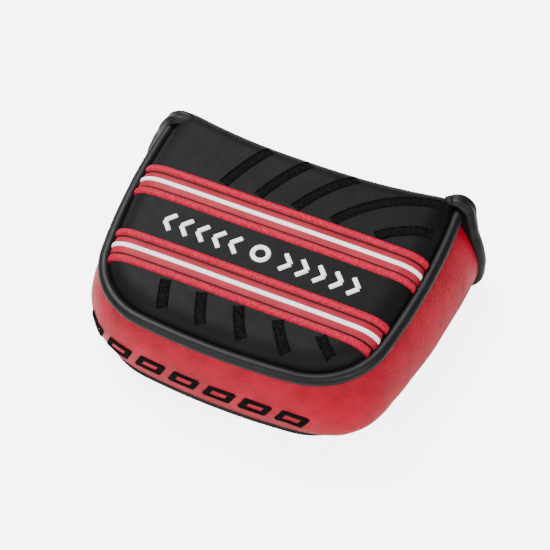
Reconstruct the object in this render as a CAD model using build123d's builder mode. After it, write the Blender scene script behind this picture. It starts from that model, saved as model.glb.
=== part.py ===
"""Mallet putter head cover: a padded leather clam shell with a piped top panel, a curved side
wall and two hinged mouth lips that magnets hold shut.

Millimetres. +Z is up, the rounded rear points along -Y and the mouth along +Y. The origin is on
the floor, under the centre of the cover's bounding box.
"""

from build123d import *
import math
import os

# Layers of every padded wall, from the outside in.
LEATHER = 1.2
FOAM = 2.0
LINING = 1.5
STACK = LEATHER + FOAM + LINING
LAYERS = {
    "panel": (0.0, LEATHER),
    "foam": (LEATHER, LEATHER + FOAM),
    "lining": (LEATHER + FOAM, STACK),
}

# Plan of the top seam: a shallow rear arc, two round corners and two long side arcs.
REAR_Y = -46.4
REAR_RADIUS = 265.0
REAR_ANGLE = 6.2
CORNER_RADIUS = 29.0
CORNER_ANGLE = 72.9
SIDE_RADIUS = 257.0
OUTLINE_FRONT = 60.0  # the outlines run past the mouth and are cut back to it

# Side wall: height, outset from the top seam, and the splay of its sides in degrees.
WALL_SECTIONS = (
    (2.8, -0.3, 5.5),
    (12.0, 2.0, 5.0),
    (24.0, 1.6, 2.5),
    (32.6, -1.4, 0.0),
)
WALL_LOW, FOOT_OUTSET, FOOT_SPLAY = WALL_SECTIONS[0]
WALL_TOP = WALL_SECTIONS[-1][0]

# Top panel and the piping round it.
CAP_TOP = 41.0
CAP_LOW = 33.2
CAP_RIM_RADIUS = 6.5
PIPING_RADIUS = 2.25
PIPING_CORD_RADIUS = 1.3
PIPING_Z = 35.0
PIPING_FRONT = 42.8
CAP_INSET = 2 * PIPING_RADIUS

# Bottom panel and the thinner piping round it.
FOOT_PIPING_RADIUS = 1.3
FOOT_PIPING_CORD_RADIUS = 0.7
FOOT_PIPING_Z = 1.4
FOOT_PIPING_INSET = 0.6
FOOT_PIPING_FRONT = 41.9
BOTTOM_PANEL_INSET = 2.0
BOTTOM_LAYER_INSET = 6.2  # the inner layers lie inside the foot of the side wall

# Mouth: two lips that fold about the front edges of the top and the bottom panel.
FRONT_Y = 48.6
TOP_FOLD_RADIUS = 8.0
BOTTOM_FOLD_RADIUS = 6.0
MOUTH_Z = 20.5
LIP_GAP = 2.0
LIP_SIDE_INSET = 0.8
BODY_GAP = 0.3
SHAFT_GAP_WIDTH = 46.0
SHAFT_GAP_RISE = 6.0

# Tape folded over every raw edge at the mouth.
TAPE = 0.6
TAPE_DEPTH = 5.0

# Curved ends of the side wall, as Y at the foot, at the middle and at the top.
END_LOW_Y = 41.0
END_MIDDLE_Y = 38.4
END_TOP_Y = 42.4

# Tabs that close the ends of the top piping.
TAB_WALL = 0.7
TAB_LENGTH = 7.0
TAB_GAP = 0.15

# Magnets, as bars lying in the foam of each lip.
MAGNET_LENGTH = 18.0
MAGNET_HEIGHT = 6.0
MAGNET_THICKNESS = 1.4
MAGNET_X = 42.0
MAGNET_EDGE_GAP = 1.5

# Two bands across the top panel: a strip with a centre line, between two satin borders.
BAND_Y = {"front": 10.0, "rear": -20.0}
BAND_LOW_Z = 37.0
STRIP_WIDTH = 7.4
STRIP_RISE = 0.4
LINE_WIDTH = 2.2
LINE_RISE = 0.8
SATIN_WIDTH = 3.2
SATIN_OFFSET = 5.4
SATIN_RISE = 0.9

# Emblem between the bands: a ring with a row of chevrons pointing away from it on each side.
EMBLEM_Y = -5.2
EMBLEM_HEIGHT = 7.2
EMBLEM_STROKE = 1.6
EMBLEM_RISE = 0.6
CHEVRON_COUNT = 5
CHEVRON_PITCH = 6.3
CHEVRON_START = 7.4
CHEVRON_DEPTH = 3.2

# Ripples embroidered in the panel's own colour, about one centre off to the side.
RIPPLE_CENTRE = (58.0, -6.0)
RIPPLE_RADII = (86.0, 73.0, 60.0, 47.0, 34.0)  # from the outermost in
RIPPLE_WIDTH = 4.0
RIPPLE_RISE = 0.35
RIPPLE_BAND_GAP = 0.8
RIPPLE_FRONT = 39.5
RIPPLE_LOW_Z = 39.0

# Lozenges embroidered along the rear of the side wall.
LOZENGE_COUNT = 7
LOZENGE_PITCH = 13.4
LOZENGE_START = -52.0  # first lozenge, as a length along the wall from its rear middle
LOZENGE_WIDTH = 10.0
LOZENGE_HEIGHT = 7.6
LOZENGE_SLANT = 2.4
LOZENGE_STROKE = 2.0
LOZENGE_Z = 16.0
LOZENGE_RISE = 0.5

FAR = 90.0  # past every side of the cover


def side_start(offset, splay):
    """Where the right side arc of an outline starts, and its heading there."""
    rear = math.radians(REAR_ANGLE)
    heading = math.radians(REAR_ANGLE + CORNER_ANGLE - splay)
    rear_radius = REAR_RADIUS + offset
    corner_radius = CORNER_RADIUS + offset
    x = rear_radius * math.sin(rear) + corner_radius * (math.sin(heading) - math.sin(rear))
    y = REAR_Y - offset + rear_radius * (1 - math.cos(rear))
    y += corner_radius * (math.cos(rear) - math.cos(heading))
    return x, y, heading


def side_turn(offset, splay, front):
    """Degrees that the side arc turns on its way to y = front."""
    _, y, heading = side_start(offset, splay)
    end = math.acos(math.cos(heading) - (front - y) / (SIDE_RADIUS + offset))
    return math.degrees(end - heading)


def half_width(offset, splay, at_y):
    """Half the width of an outline at one Y along its sides."""
    x, _, heading = side_start(offset, splay)
    end = heading + math.radians(side_turn(offset, splay, at_y))
    return x + (SIDE_RADIUS + offset) * (math.sin(end) - math.sin(heading))


def wall_half_width(height):
    """Half the width of the side wall at the mouth, between the heights of its sections."""
    for (z0, offset0, splay0), (z1, offset1, splay1) in zip(WALL_SECTIONS, WALL_SECTIONS[1:]):
        if height <= z1:
            share = (height - z0) / (z1 - z0)
            offset = offset0 + share * (offset1 - offset0)
            splay = splay0 + share * (splay1 - splay0)
            return half_width(offset, splay, FRONT_Y)
    return half_width(offset1, splay1, FRONT_Y)


def draw_half_outline(offset, splay, front):
    """Draws the right half of an outline in the current BuildLine and returns its side arc."""
    rear = JernArc((0, REAR_Y - offset), (1, 0), REAR_RADIUS + offset, REAR_ANGLE)
    corner = JernArc(rear @ 1, rear % 1, CORNER_RADIUS + offset, CORNER_ANGLE - splay)
    turn = side_turn(offset, splay, front)
    return JernArc(corner @ 1, corner % 1, SIDE_RADIUS + offset, turn)


def outline_face(height, offset, splay):
    """The closed plan outline at one height, outset from the top seam."""
    with BuildSketch(Plane.XY.offset(height)) as face:
        with BuildLine():
            side = draw_half_outline(offset, splay, OUTLINE_FRONT)
            Line(side @ 1, (0, OUTLINE_FRONT))
            mirror(about=Plane.YZ)
        make_face()
    return face.sketch


def outline_block(low, high, offset, splay=0.0):
    """An upright block of the plan outline between two heights."""
    with BuildPart() as block:
        add(outline_face(low, offset, splay))
        extrude(amount=high - low)
    return block.part


def outline_wire(height, offset, splay, front):
    """The open line round the rear and both sides, from y = front on the left to the right."""
    with BuildLine(Plane.XY.offset(height)) as line:
        draw_half_outline(offset, splay, front)
        mirror(about=Plane.YZ)
    wire = line.wires()[0]
    return wire if (wire @ 0).X < 0 else Wire(wire.edges().sort_by(Axis.X))


def side_view_block(points):
    """A block along X with a polygon of Y, Z points as its section."""
    with BuildPart() as block:
        with BuildSketch(Plane.YZ):
            with BuildLine():
                Polyline(*points, close=True)
            make_face()
        extrude(amount=FAR, both=True)
    return block.part


def fold_block(inset, top, radius):
    """All that lies behind the front face and under a top face, with the fold between rounded."""
    with BuildPart() as block:
        with BuildSketch(Plane.YZ) as section:
            with Locations((FRONT_Y - inset, top - inset)):
                Rectangle(2 * FAR, 2 * FAR, align=(Align.MAX, Align.MAX))
            fold = section.vertices().group_by(Axis.Y)[-1].sort_by(Axis.X)[-1]
            fillet(fold, radius - inset)
        extrude(amount=FAR, both=True)
    return block.part


def top_fold_block(inset):
    """The fold block of the top panel's front edge."""
    return fold_block(inset, CAP_TOP, TOP_FOLD_RADIUS)


def bottom_fold_block(inset):
    """The fold block of the bottom panel's front edge, which is one of the top turned over."""
    return mirror(fold_block(inset, 0, BOTTOM_FOLD_RADIUS), about=Plane.XY)


def shell_side_of_fold(top):
    """The half space behind the mitre of a fold, half the body gap off it."""
    y = FRONT_Y - BODY_GAP / math.sqrt(2)
    return side_view_block(
        ((y + 5, top + 5), (y - FAR, top - FAR), (-2 * FAR, top - FAR), (-2 * FAR, top + 5))
    )


def lip_side_of_fold(top):
    """The half space in front of the mitre of a fold, half the body gap off it."""
    z = top - BODY_GAP / math.sqrt(2)
    return side_view_block(
        ((FRONT_Y + 5, z + 5), (FRONT_Y - FAR, z - FAR), (FRONT_Y + 5, z - FAR))
    )


def layer_between(outer, inner, keep):
    """The layer of an outer form outside an inner one, kept inside the given blocks."""
    with BuildPart() as layer:
        add(outer)
        add(inner, mode=Mode.SUBTRACT)
        for block in keep:
            add(block, mode=Mode.INTERSECT)
    return layer.part


def cap_form(inset):
    """The top pillow: the plan outline with a rounded rim and a rounded front fold."""
    slab = outline_block(CAP_LOW, CAP_TOP - inset, -CAP_INSET - inset)
    fold = top_fold_block(inset)
    with BuildPart() as form:
        add(slab)
        rim = form.faces().sort_by(Axis.Z)[-1].edges().filter_by(GeomType.CIRCLE)
        fillet(rim, CAP_RIM_RADIUS - inset)
        add(fold, mode=Mode.INTERSECT)
    return form.part


def wall_form(inset):
    """The solid that the side wall surrounds, with its surface moved in by inset."""
    with BuildPart() as form:
        for height, offset, splay in WALL_SECTIONS:
            add(outline_face(height, offset - inset, splay))
        loft()
    return form.part


def behind_wall_ends(reach=0.0):
    """All that lies behind the curved ends of the side wall, which reach moves forward."""
    with BuildPart() as block:
        with BuildSketch(Plane.YZ):
            with BuildLine():
                end = ThreePointArc(
                    (END_LOW_Y + reach, WALL_LOW - 1),
                    (END_MIDDLE_Y + reach, MOUTH_Z - 3),
                    (END_TOP_Y + reach, WALL_TOP + 1),
                )
                Polyline(end @ 1, (-FAR, WALL_TOP + 1), (-FAR, WALL_LOW - 1), end @ 0)
            make_face()
        extrude(amount=FAR, both=True)
    return block.part


def round_tube(path, radius, bore=0.0):
    """A round cord along a path, or a sleeve where bore is above zero."""
    with BuildPart() as tube:
        with BuildSketch(Plane(origin=path @ 0, z_dir=path % 0)):
            Circle(radius)
            if bore:
                Circle(bore, mode=Mode.SUBTRACT)
        sweep(path=path)
    return tube.part


def lip_face(upper, margin):
    """Front view of a lip, its free edge a margin short of the tape's edge, in the XZ plane."""
    way = 1 if upper else -1
    edge = MOUTH_Z + way * (LIP_GAP / 2 + margin)
    scallop_radius = ((SHAFT_GAP_WIDTH / 2) ** 2 + SHAFT_GAP_RISE**2) / (2 * SHAFT_GAP_RISE)
    scallop_z = MOUTH_Z + LIP_GAP / 2 + SHAFT_GAP_RISE - scallop_radius
    with BuildSketch(Plane.XZ) as face:
        with BuildLine():
            if upper:
                cap_side = half_width(-CAP_INSET, 0, FRONT_Y)
                rim = RadiusArc(
                    (cap_side - CAP_RIM_RADIUS, CAP_TOP),
                    (cap_side, CAP_TOP - CAP_RIM_RADIUS),
                    CAP_RIM_RADIUS,
                )
                seam = (wall_half_width(WALL_TOP) - LIP_SIDE_INSET, WALL_TOP)
                Line(rim @ 1, seam)
                fold = rim @ 0
            else:
                seam = (half_width(-BOTTOM_PANEL_INSET, FOOT_SPLAY, FRONT_Y), 0)
                fold = Vector(seam[0], 0)
            middle_z = (seam[1] + MOUTH_Z) / 2
            side = ThreePointArc(
                seam,
                (wall_half_width(middle_z) - LIP_SIDE_INSET, middle_z),
                (wall_half_width(MOUTH_Z) - LIP_SIDE_INSET, MOUTH_Z),
            )
            Line(side @ 1, (0, MOUTH_Z))
            Line((0, fold.Y), fold)
            mirror(about=Plane.YZ)
        make_face()
        with Locations((0, edge)):
            Rectangle(
                2 * FAR,
                FAR,
                align=(Align.CENTER, Align.MAX if upper else Align.MIN),
                mode=Mode.SUBTRACT,
            )
        if upper:
            with Locations((0, scallop_z)):
                Circle(scallop_radius + margin, mode=Mode.SUBTRACT)
    return face.sketch


def lip_block(upper, margin, front=-FAR, back=FAR):
    """A block along Y with a lip's front view, between two depths behind the front face."""
    with BuildPart() as block:
        extrude(lip_face(upper, margin), amount=FAR, both=True)
        split(bisect_by=Plane.XZ.offset(front - FRONT_Y), keep=Keep.TOP)
        split(bisect_by=Plane.XZ.offset(back - FRONT_Y), keep=Keep.BOTTOM)
    return block.part


def magnet_block(upper):
    """The two magnets of a lip, side by side in its foam."""
    way = 1 if upper else -1
    edge = MOUTH_Z + way * (LIP_GAP / 2 + TAPE + MAGNET_EDGE_GAP)
    with BuildPart() as magnets:
        with Locations(
            (-MAGNET_X, FRONT_Y - LEATHER - FOAM / 2, edge + way * MAGNET_HEIGHT / 2),
            (MAGNET_X, FRONT_Y - LEATHER - FOAM / 2, edge + way * MAGNET_HEIGHT / 2),
        ):
            Box(MAGNET_LENGTH, MAGNET_THICKNESS, MAGNET_HEIGHT)
    return magnets.part


def cap_trim(plan, low, high, low_z):
    """Trim laid over the top panel in plan, from one height above its surface to another."""
    over = cap_form(-high)
    under = cap_form(-low)
    with BuildPart() as trim:
        add(plan)
        extrude(amount=CAP_TOP + high - low_z)
        add(over, mode=Mode.INTERSECT)
        add(under, mode=Mode.SUBTRACT)
    return trim.part


def band_plan(*strips):
    """Strips right across the top panel, each as its middle Y and its width."""
    with BuildSketch(Plane.XY.offset(BAND_LOW_Z)) as plan:
        for middle, width in strips:
            with Locations((0, middle)):
                Rectangle(2 * FAR, width)
    return plan.sketch


def emblem_plan():
    """A ring, and on each side of it a row of chevrons pointing outward."""
    with BuildSketch(Plane.XY.offset(BAND_LOW_Z)) as plan:
        with Locations((0, EMBLEM_Y)):
            Circle(EMBLEM_HEIGHT / 2)
            Circle(EMBLEM_HEIGHT / 2 - EMBLEM_STROKE, mode=Mode.SUBTRACT)
        for number in range(CHEVRON_COUNT):
            tip = CHEVRON_START + number * CHEVRON_PITCH
            for way in (1, -1):
                with BuildLine():
                    Polyline(
                        (way * tip, EMBLEM_Y + EMBLEM_HEIGHT / 2),
                        (way * (tip + CHEVRON_DEPTH), EMBLEM_Y),
                        (way * tip, EMBLEM_Y - EMBLEM_HEIGHT / 2),
                        (way * (tip + EMBLEM_STROKE), EMBLEM_Y - EMBLEM_HEIGHT / 2),
                        (way * (tip + CHEVRON_DEPTH + EMBLEM_STROKE), EMBLEM_Y),
                        (way * (tip + EMBLEM_STROKE), EMBLEM_Y + EMBLEM_HEIGHT / 2),
                        close=True,
                    )
                make_face()
    return plan.sketch


def ripple_plan():
    """Arcs of one width about one centre, kept off the bands, the emblem and the fold."""
    half_band = SATIN_OFFSET + SATIN_WIDTH / 2 + RIPPLE_BAND_GAP
    front_start = BAND_Y["front"] + half_band
    rear_start = BAND_Y["rear"] - half_band
    with BuildSketch(Plane.XY.offset(RIPPLE_LOW_Z)) as plan:
        for radius in RIPPLE_RADII:
            with Locations(RIPPLE_CENTRE):
                Circle(radius + RIPPLE_WIDTH / 2)
                Circle(radius - RIPPLE_WIDTH / 2, mode=Mode.SUBTRACT)
        with Locations((0, (front_start + rear_start) / 2)):
            Rectangle(3 * FAR, front_start - rear_start, mode=Mode.SUBTRACT)
        with Locations((0, RIPPLE_FRONT)):
            Rectangle(3 * FAR, FAR, align=(Align.CENTER, Align.MIN), mode=Mode.SUBTRACT)
    return plan.sketch


def lozenge_row():
    """Slanted lozenge rings standing across the rear of the side wall, as upright prisms."""
    path = outline_wire(LOZENGE_Z, 0, 0, PIPING_FRONT)
    middle = path.length / 2
    with BuildPart() as row:
        for number in range(LOZENGE_COUNT):
            along = middle + LOZENGE_START + number * LOZENGE_PITCH
            heading = path.tangent_at(along, position_mode=PositionMode.LENGTH)
            face = Plane(
                origin=path.position_at(along, position_mode=PositionMode.LENGTH),
                x_dir=heading,
                z_dir=heading.cross(Vector(0, 0, 1)),
            )
            with BuildSketch(face):
                for inset, mode in ((0, Mode.ADD), (LOZENGE_STROKE, Mode.SUBTRACT)):
                    x = LOZENGE_WIDTH / 2 - inset
                    y = LOZENGE_HEIGHT / 2 - inset
                    lean = LOZENGE_SLANT / 2 * y / (LOZENGE_HEIGHT / 2)
                    with BuildLine():
                        Polyline(
                            (-x - lean, -y), (x - lean, -y), (x + lean, y), (-x + lean, y),
                            close=True,
                        )
                    make_face(mode=mode)
            extrude(amount=LOZENGE_HEIGHT, both=True)
    return row.part


def save(piece, name):
    """Labels a finished piece and writes its STEP file."""
    piece.label = name
    export_step(piece, f"parts/{name}.step")


os.makedirs("parts", exist_ok=True)

# Shell: the panel, foam and lining of the top, the bottom and the side wall.

insets = (0.0, LEATHER, LEATHER + FOAM, STACK)
cap_forms = {inset: cap_form(inset) for inset in insets}
wall_forms = {inset: wall_form(inset) for inset in insets}
wall_ends = behind_wall_ends()
shell_at_top = shell_side_of_fold(CAP_TOP)
shell_at_bottom = mirror(shell_side_of_fold(0), about=Plane.XY)

for layer, (outer, inner) in LAYERS.items():
    edge_inset = BOTTOM_PANEL_INSET if layer == "panel" else BOTTOM_LAYER_INSET
    bottom_outline = outline_block(0, CAP_RIM_RADIUS, -edge_inset, FOOT_SPLAY)
    bottom_outer = bottom_fold_block(outer)
    bottom_inner = bottom_fold_block(inner)

    save(layer_between(cap_forms[outer], cap_forms[inner], [shell_at_top]), f"top_{layer}")
    save(layer_between(wall_forms[outer], wall_forms[inner], [wall_ends]), f"side_{layer}")
    save(
        layer_between(bottom_outer, bottom_inner, [bottom_outline, shell_at_bottom]),
        f"bottom_{layer}",
    )

# Piping: a leather sleeve round a cord, beside the top panel's rim and round the bottom.

top_path = outline_wire(PIPING_Z, -PIPING_RADIUS, 0, PIPING_FRONT)
foot_path = outline_wire(FOOT_PIPING_Z, -FOOT_PIPING_INSET, FOOT_SPLAY, FOOT_PIPING_FRONT)
save(round_tube(top_path, PIPING_RADIUS, PIPING_CORD_RADIUS), "top_piping")
save(round_tube(top_path, PIPING_CORD_RADIUS), "top_piping_cord")
save(round_tube(foot_path, FOOT_PIPING_RADIUS, FOOT_PIPING_CORD_RADIUS), "bottom_piping")
save(round_tube(foot_path, FOOT_PIPING_CORD_RADIUS), "bottom_piping_cord")

# Tape folded over the raw ends of the side wall, and tabs over the ends of the top piping.

wall_stack = layer_between(wall_forms[0.0], wall_forms[STACK], [wall_ends])
tape_outer = wall_form(-TAPE)
tape_inner = wall_form(STACK + TAPE)
tape_front = behind_wall_ends(TAPE)
tape_back = behind_wall_ends(-TAPE_DEPTH)
tab_path = outline_wire(PIPING_Z, -PIPING_RADIUS, 0, PIPING_FRONT + TAB_WALL)
tab_round = round_tube(tab_path, PIPING_RADIUS + TAB_WALL)
piping_round = round_tube(top_path, PIPING_RADIUS)
cap_outline = outline_block(0, CAP_TOP, -CAP_INSET + TAB_GAP)

for side, way in (("left", -1), ("right", 1)):
    with BuildPart() as end_tape:
        add(tape_outer)
        add(tape_inner, mode=Mode.SUBTRACT)
        add(tape_front, mode=Mode.INTERSECT)
        add(tape_back, mode=Mode.SUBTRACT)
        add(wall_stack, mode=Mode.SUBTRACT)
        with Locations((way * FAR, 0, 0)):
            Box(2 * FAR, 2 * FAR, 2 * FAR, mode=Mode.INTERSECT)
    save(end_tape.part, f"{side}_end_tape")

    with BuildPart() as piping_tab:
        add(tab_round)
        add(piping_round, mode=Mode.SUBTRACT)
        add(cap_outline, mode=Mode.SUBTRACT)
        with Locations((way * FAR, PIPING_FRONT + TAB_WALL, WALL_TOP + TAB_GAP)):
            Box(
                2 * FAR,
                2 * TAB_LENGTH,
                FAR,
                align=(Align.CENTER, Align.CENTER, Align.MIN),
                mode=Mode.INTERSECT,
            )
    save(piping_tab.part, f"{side}_piping_tab")

# Trim on the top panel and on the rear of the side wall.

for name, middle in BAND_Y.items():
    strip = band_plan((middle, STRIP_WIDTH))
    line = band_plan((middle, LINE_WIDTH))
    borders = band_plan(
        (middle - SATIN_OFFSET, SATIN_WIDTH),
        (middle + SATIN_OFFSET, SATIN_WIDTH),
    )
    save(cap_trim(strip, 0.0, STRIP_RISE, BAND_LOW_Z), f"{name}_band_strip")
    save(cap_trim(line, STRIP_RISE, LINE_RISE, BAND_LOW_Z), f"{name}_band_line")
    save(cap_trim(borders, 0.0, SATIN_RISE, BAND_LOW_Z), f"{name}_band_satin")

save(cap_trim(emblem_plan(), 0.0, EMBLEM_RISE, BAND_LOW_Z), "chevron_emblem")
save(cap_trim(ripple_plan(), 0.0, RIPPLE_RISE, RIPPLE_LOW_Z), "ripple_embroidery")

lozenge_outer = wall_form(-LOZENGE_RISE)
save(layer_between(lozenge_outer, wall_forms[0.0], [lozenge_row()]), "lozenge_embroidery")

# Lips: each has the three layers of its panel, tape on its free edge and two magnets.

LIPS = {
    "upper": (top_fold_block, lip_side_of_fold(CAP_TOP)),
    "lower": (bottom_fold_block, mirror(lip_side_of_fold(0), about=Plane.XY)),
}
for lip, (fold_form, lip_side) in LIPS.items():
    upper = lip == "upper"
    front_view = lip_block(upper, TAPE)
    magnets = magnet_block(upper)
    for layer, (outer, inner) in LAYERS.items():
        with BuildPart() as lip_layer:
            add(fold_form(outer))
            add(fold_form(inner), mode=Mode.SUBTRACT)
            add(lip_side, mode=Mode.INTERSECT)
            add(front_view, mode=Mode.INTERSECT)
            if layer == "foam":
                add(magnets, mode=Mode.SUBTRACT)
        save(lip_layer.part, f"{lip}_lip_{layer}")

    taped = lip_block(upper, 0.0, -TAPE, STACK + TAPE)
    untaped = lip_block(upper, TAPE_DEPTH)
    layers = lip_block(upper, TAPE, 0.0, STACK)
    with BuildPart() as lip_tape:
        add(taped)
        add(untaped, mode=Mode.SUBTRACT)
        add(layers, mode=Mode.SUBTRACT)
    save(lip_tape.part, f"{lip}_lip_tape")
    save(magnets, f"{lip}_lip_magnets")
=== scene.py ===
"""Looks of the putter head cover: leather, piping, embroidery, bound mouth and lining.

Lengths are in millimetres until a mesh is made, which turns them into metres.
"""

import math

import bpy
import numpy as np
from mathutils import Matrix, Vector


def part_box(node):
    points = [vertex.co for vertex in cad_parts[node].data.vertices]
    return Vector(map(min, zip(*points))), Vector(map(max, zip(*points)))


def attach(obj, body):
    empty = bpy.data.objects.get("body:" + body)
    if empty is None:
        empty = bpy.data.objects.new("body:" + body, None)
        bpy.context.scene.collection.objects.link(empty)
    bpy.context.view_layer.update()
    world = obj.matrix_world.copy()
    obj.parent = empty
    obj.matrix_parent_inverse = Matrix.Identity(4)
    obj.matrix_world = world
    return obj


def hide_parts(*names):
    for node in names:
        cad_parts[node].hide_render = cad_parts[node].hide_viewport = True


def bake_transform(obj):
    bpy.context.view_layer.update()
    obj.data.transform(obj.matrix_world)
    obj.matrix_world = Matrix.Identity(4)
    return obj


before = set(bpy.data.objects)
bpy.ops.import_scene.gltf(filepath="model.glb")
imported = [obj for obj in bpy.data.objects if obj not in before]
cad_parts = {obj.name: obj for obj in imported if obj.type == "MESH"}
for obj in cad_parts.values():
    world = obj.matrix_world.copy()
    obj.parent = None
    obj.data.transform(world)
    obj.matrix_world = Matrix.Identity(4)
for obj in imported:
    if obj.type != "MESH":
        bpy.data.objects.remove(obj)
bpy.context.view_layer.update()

MM = 0.001


def node_box(node):
    """A CAD node's lowest and highest corners in millimetres."""
    low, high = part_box(node)
    return np.array(low) / MM, np.array(high) / MM


# ---------------------------------------------------------------- driving dimensions

_, PANEL_HIGH = node_box("top_panel")
PIPING_LOW, PIPING_HIGH = node_box("top_piping")
WALL_LOW, WALL_HIGH = node_box("side_panel")
FOOT_LOW, FOOT_HIGH = node_box("bottom_piping")
UPPER_LOW, UPPER_HIGH = node_box("upper_lip_tape")
_, LOWER_HIGH = node_box("lower_lip_tape")

CAP_TOP = PANEL_HIGH[2]
PIPING_RADIUS = (PIPING_HIGH[2] - PIPING_LOW[2]) / 2
PIPING_Z = (PIPING_HIGH[2] + PIPING_LOW[2]) / 2
PIPING_FRONT = PIPING_HIGH[1]
FOOT_RADIUS = (FOOT_HIGH[2] - FOOT_LOW[2]) / 2
FOOT_Z = (FOOT_HIGH[2] + FOOT_LOW[2]) / 2
REAR_Y = PIPING_LOW[1]
UPPER_EDGE = UPPER_LOW[2]
LOWER_EDGE = LOWER_HIGH[2]
FRONT_Y = UPPER_HIGH[1] - 0.6
FOOT_WALL_Z = WALL_LOW[2]
TOP_WALL_Z = WALL_HIGH[2]

# Plan of the top seam: rear arc, corner arc and side arc, each as radius and degrees turned.
REAR_RADIUS, REAR_ANGLE = 265.0, 6.2
CORNER_RADIUS, CORNER_ANGLE = 29.0, 72.9
SIDE_RADIUS = 257.0

# Side wall sections: height, outset from the top seam, splay of the sides in degrees.
FOOT_SPLAY = 5.5
WALL_SECTIONS = (
    (FOOT_WALL_Z, -0.3, FOOT_SPLAY),
    (12.0, 2.0, 5.0),
    (24.0, 1.6, 2.5),
    (TOP_WALL_Z, -1.4, 0.0),
)
WALL_STACK = 4.7  # leather, foam and lining together
# The padded sides and one rear corner fill out past their pattern.
SWELL_RIGHT, SWELL_LEFT, SWELL_CORNER = 2.5, 1.7, 2.6

# The top panel rises from its seam over the rim, and folds down at the mouth, where it sags.
CAP_EDGE_Z = 35.6
CAP_EDGE_DEPTH = 4.1
CAP_RIM_REACH = 10.0
FOLD_RADIUS = 7.5
FOLD_SAG = 5.6
FOLD_HALF_WIDTH = 53.5
BOTTOM_FOLD_RADIUS = 6.0
LIP_SAG = 0.7

# Trim, as in the CAD. Bands are front and rear; ripple radii run from the outermost in.
BAND_Y = (10.0, -20.0)
SATIN_OFFSET, SATIN_WIDTH = 5.4, 3.2
STRIP_WIDTH = 7.6
LINE_WIDTH = 2.2
EMBLEM_Y, EMBLEM_HEIGHT, EMBLEM_STROKE = -5.2, 7.2, 1.6
CHEVRON_COUNT, CHEVRON_PITCH, CHEVRON_START, CHEVRON_DEPTH = 5, 6.3, 7.4, 3.2
RIPPLE_CENTRE = (58.0, -6.0)
RIPPLE_RADII = (86.0, 73.0, 60.0, 47.0, 34.0)
RIPPLE_WIDTH = 4.0
RIPPLE_LINE = 0.8  # width of a ripple's raised outline
LOZENGE_COUNT, LOZENGE_PITCH, LOZENGE_START = 7, 13.4, -52.0
LOZENGE_SIZE, LOZENGE_SLANT, LOZENGE_STROKE, LOZENGE_Z = (10.0, 7.6), 2.4, 2.0, 16.0
EMBLEM_SPREAD, LOZENGE_SPREAD = 1.2, 1.3  # stitching spreads past its pattern's stroke
THREAD = 0.42  # spacing of fine embroidery threads

# The mouth binding's middle line from the panel's corner down to the foot, on the right and on
# the left, then its half width fore and aft and its half thickness at each of those points.
BINDING_RIGHT = (
    (50.0, 44.6, 37.9), (54.4, 45.7, 38.8), (58.2, 45.4, 36.9), (59.9, 43.7, 33.0),
    (61.9, 42.3, 27.5), (65.4, 40.8, 20.5), (66.9, 39.9, 13.5), (66.6, 40.0, 7.0),
    (64.6, 40.6, 1.8),
)
BINDING_LEFT = (
    (-46.6, 41.9, 38.4), (-51.0, 42.0, 38.8), (-55.3, 41.2, 37.4), (-58.0, 40.9, 33.4),
    (-60.3, 40.9, 27.5), (-63.3, 40.3, 20.5), (-65.2, 39.6, 13.5), (-65.5, 39.8, 7.0),
    (-64.2, 40.6, 1.8),
)
BINDING_WIDTH = (2.0, 2.8, 3.1, 2.9, 2.9, 2.8, 2.7, 2.6, 2.2)
BINDING_THICKNESS = (0.9, 1.8, 2.3, 2.7, 2.9, 2.9, 2.9, 2.8, 2.2)


# ---------------------------------------------------------------- outline arithmetic

def arc_centres(offset=0.0, splay=0.0):
    """Centre, radius and end heading of the rear, corner and side arcs of the right half."""
    rear_end = math.radians(REAR_ANGLE)
    corner_end = math.radians(REAR_ANGLE + CORNER_ANGLE - splay)
    rear_radius = REAR_RADIUS + offset
    corner_radius = CORNER_RADIUS + offset
    side_radius = SIDE_RADIUS + offset
    rear = np.array([0.0, REAR_Y + REAR_RADIUS])
    joint = np.array([math.sin(rear_end), -math.cos(rear_end)])
    corner = rear + joint * (rear_radius - corner_radius)
    joint = np.array([math.sin(corner_end), -math.cos(corner_end)])
    side = corner + joint * (corner_radius - side_radius)
    return (
        (rear, rear_radius, 0.0, rear_end),
        (corner, corner_radius, rear_end, corner_end),
        (side, side_radius, corner_end, None),
    )


def half_outline(offset, splay, front, counts=(14, 60, 60)):
    """Points and outward normals of the right half outline, from the rear middle to y = front."""
    points = []
    normals = []
    for (centre, radius, start, end), count in zip(arc_centres(offset, splay), counts):
        if end is None:
            end = math.acos(max(-1.0, min(1.0, (centre[1] - front) / radius)))
        headings = np.linspace(start, end, count + 1)[(1 if points else 0):]
        direction = np.stack([np.sin(headings), -np.cos(headings)], axis=1)
        points.extend(centre + direction * radius)
        normals.extend(direction)
    return np.array(points), np.array(normals)


def full_outline(offset, splay, front, counts=(14, 60, 60)):
    """The outline from the left front, round the rear, to the right front."""
    points, normals = half_outline(offset, splay, front, counts)
    flip = np.array([-1.0, 1.0])
    return (
        np.concatenate([points[:0:-1] * flip, points]),
        np.concatenate([normals[:0:-1] * flip, normals]),
    )


def seam_depth(x, y):
    """How far inside the top seam's outline a plan point lies."""
    x = np.abs(x)
    (rear, rear_r, _, rear_end), (corner, corner_r, _, corner_end), (side, side_r, _, _) = (
        arc_centres()
    )
    to_rear = np.hypot(x - rear[0], y - rear[1])
    to_corner = np.hypot(x - corner[0], y - corner[1])
    to_side = np.hypot(x - side[0], y - side[1])
    heading = np.arctan2(x - corner[0], corner[1] - y)
    at_corner = (heading > rear_end) & (heading < corner_end)
    return np.where(at_corner, corner_r - to_corner, np.minimum(rear_r - to_rear, side_r - to_side))


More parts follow.
